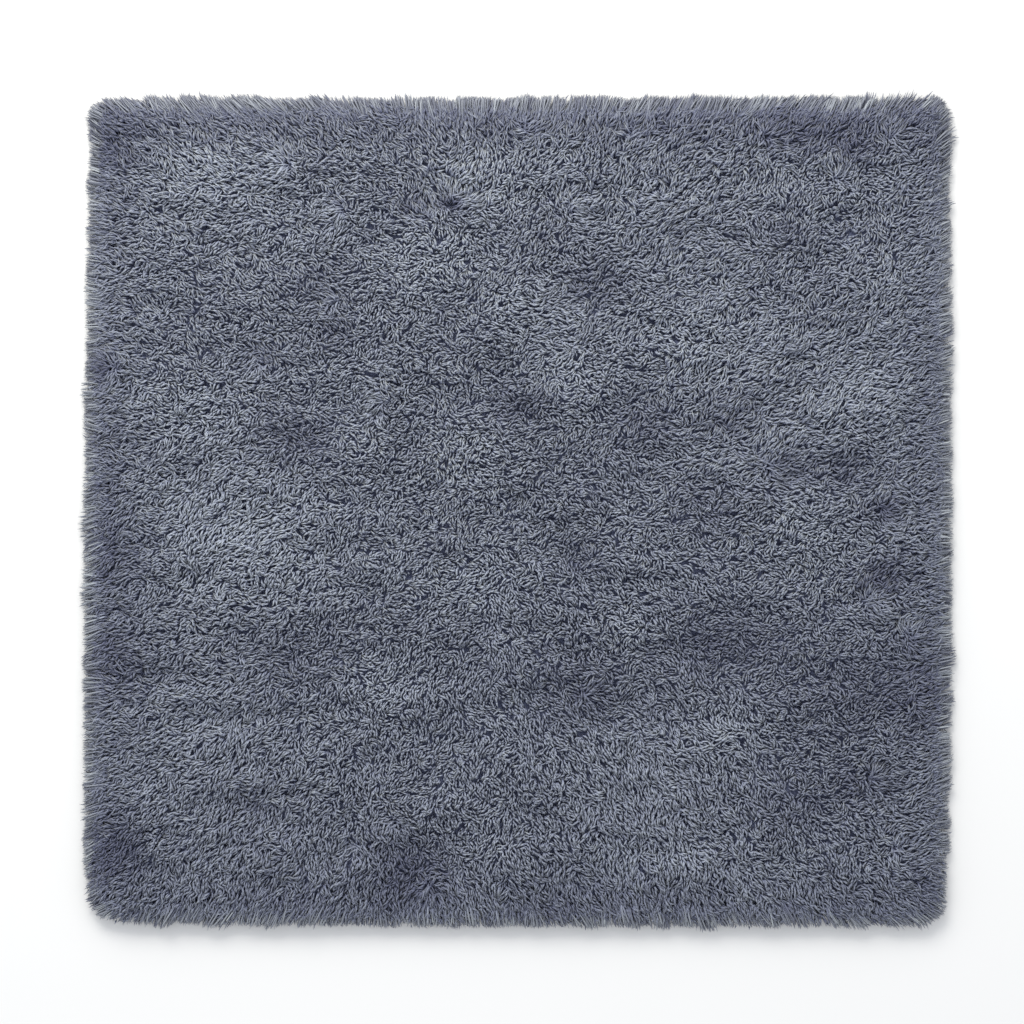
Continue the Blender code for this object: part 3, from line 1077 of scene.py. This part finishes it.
# The 0.1 keeps a bend from being nothing, because in_rows divides by it.
clump_bend = draws.normal(0, CLUMP_BEND, len(clumps)) * eddies * loose + 0.1
clump_pinch = draws.uniform(*CLUMP_PINCH, len(clumps))
places, heading = in_rows(places, clumps, clump_of, clump_heading, clump_bend, clump_pinch)
places, heading, fanned = tufted(places, heading)
heading += np.radians(draws.normal(0, LOCK_SCATTER, count))
fall_way, side_way = headed(heading), headed(heading + math.pi / 2)

level = draws.random(count)
lift = (1 + draws.normal(0, CLUMP_LIFT, len(clumps))[clump_of]) * (LOW_LIFT + LEVEL_LIFT * level)
further = 1 + SMOOTH_FALL * (1 - stir[clump_of]) + TUFT_FALL * fanned
fall = INNER_FALL * draws.uniform(*INNER_FALLS, count) * further
fall = np.minimum(fall, RIM_FALL * np.maximum(inside_by(places), RIM_FALL_START))
bend = clump_bend[clump_of] + draws.normal(0, LOCK_BEND, count)


def along_curl(share, lift):
    """Points on each lock at this share of its fall from its middle, at this share of the pile's height."""
    step = share * fall
    points = places + fall_way * step[:, None] + side_way * (bend * step * step / 2)[:, None]
    points[:, 2] = pile_height(points) * lift
    return points


roots = along_curl(-0.5, INNER_ROOT_SHARE)
rise = along_curl(INNER_RISE_AT, lift * INNER_RISE_LIFT)
over = along_curl(INNER_OVER_AT, lift * INNER_OVER_LIFT)
tips = along_curl(0.5, lift * draws.uniform(*INNER_TIP_LIFTS, count))

inner_lock = straight_lock(INNER_LOCK_RINGS)
inner_widths = INNER_LOCK_WIDTH * draws.uniform(*INNER_WIDTHS, count)
inner_placed = bent(inner_lock, (roots, rise, over, tips), side_way, inner_widths)
# Painted light and shade on the inner locks, with random tone.
inner_tone_and_painted_light = INNER_SHADE + LEVEL_PAINTED_SHADE * level + PATCH_SHADE * waver(places, PATCH_SIZE, SEED + 21)
inner_tone_and_painted_light += SWELL_PAINTED_LIGHT_AND_SHADE * swelling(places)
inner_tone_and_painted_light += SHADE_SCATTER * draws.normal(0, 1, count)
inner_tone_and_painted_light += SHADE_SCATTER * draws.normal(0, 1, len(clumps))[clump_of]
# Painted shade, darker towards the rim and more so along the far and near sides.
painted_shade_at_rim = 1 - smooth_step((inside_by(places) - RIM_PAINTED_SHADE_START) / RIM_PAINTED_SHADE_RUN)
painted_shade_at_side = FAR_PAINTED_SHADE_SHARE * far_side(places) + NEAR_PAINTED_SHADE_SHARE * far_side(-places)
inner_tone_and_painted_light -= RIM_PAINTED_SHADE * painted_shade_at_rim * (1 + painted_shade_at_side)
inner_tone_and_painted_light = np.clip(inner_tone_and_painted_light, *SHADE_LIMITS)
strip_of = np.argsort(np.argsort(-roots[:, 1])) * INNER_STRIPS // count
for strip in range(INNER_STRIPS):
    chosen = strip_of == strip
    pile_piece(f"inner_pile_{strip + 1}", inner_lock, inner_placed[chosen], inner_tone_and_painted_light[chosen])

# ---- Floor, light and camera
# A white studio sweep in bright even light. A large softbox beyond the rug's far side and a low panel nearer
# to it, both a little to the left, give the pile its shading. The camera looks straight down.

PICTURE_WIDTH = 1.419
PICTURE_MIDDLE = (-0.0077, 0.0008)
FLOOR_HALF_SIZE = 8.0

# The floor lies a hair below the cloth, so that the two faces never coincide.
FLOOR_LEVEL = -0.5 * MM
floor_maker = bmesh.new()
bmesh.ops.create_grid(floor_maker, x_segments=1, y_segments=1, size=FLOOR_HALF_SIZE)
bmesh.ops.translate(floor_maker, verts=floor_maker.verts[:], vec=(0.0, 0.0, FLOOR_LEVEL))
sweep, sweep_shader = new_material("white_studio_sweep")
sweep_shader.inputs["Base Color"].default_value = linear("#e4e3df")
sweep_shader.inputs["Roughness"].default_value = 0.9
sweep_shader.inputs["Specular IOR Level"].default_value = 0.1
floor_mesh = as_mesh("studio_floor", floor_maker)
floor_mesh.materials.append(sweep)
floor = bpy.data.objects.new("studio_floor", floor_mesh)
bpy.context.scene.collection.objects.link(floor)

world = bpy.data.worlds.new("studio")
bpy.context.scene.world = world
world.use_nodes = True
world.node_tree.nodes["Background"].inputs["Color"].default_value = linear("#f2f6ff")
world.node_tree.nodes["Background"].inputs["Strength"].default_value = 0.95

LIGHT_COLOUR = (1.0, 0.985, 0.955)
Lamp = namedtuple("Lamp", "name place width height energy")
LAMPS = (
    Lamp("far_softbox", (-1.3, 4.6, 3.7), 3.2, 2.4, 195),
    Lamp("low_panel", (-0.4, 1.7, 1.35), 3.2, 1.4, 30),
)
for lamp in LAMPS:
    light = bpy.data.lights.new(lamp.name, "AREA")
    light.shape = "RECTANGLE"
    light.size = lamp.width
    light.size_y = lamp.height
    light.energy = lamp.energy
    light.color = LIGHT_COLOUR
    holder = bpy.data.objects.new(lamp.name, light)
    holder.location = lamp.place
    holder.rotation_euler = (-holder.location).to_track_quat("-Z", "Y").to_euler()
    bpy.context.scene.collection.objects.link(holder)

camera_data = bpy.data.cameras.new("camera")
camera_data.lens = 100
camera_data.sensor_width = 36
camera_data.clip_end = 50
camera = bpy.data.objects.new("camera", camera_data)
camera.location = (*PICTURE_MIDDLE, PICTURE_WIDTH * camera_data.lens / camera_data.sensor_width)
bpy.context.scene.collection.objects.link(camera)
bpy.context.scene.camera = camera
bpy.context.scene.view_settings.view_transform = "Standard"
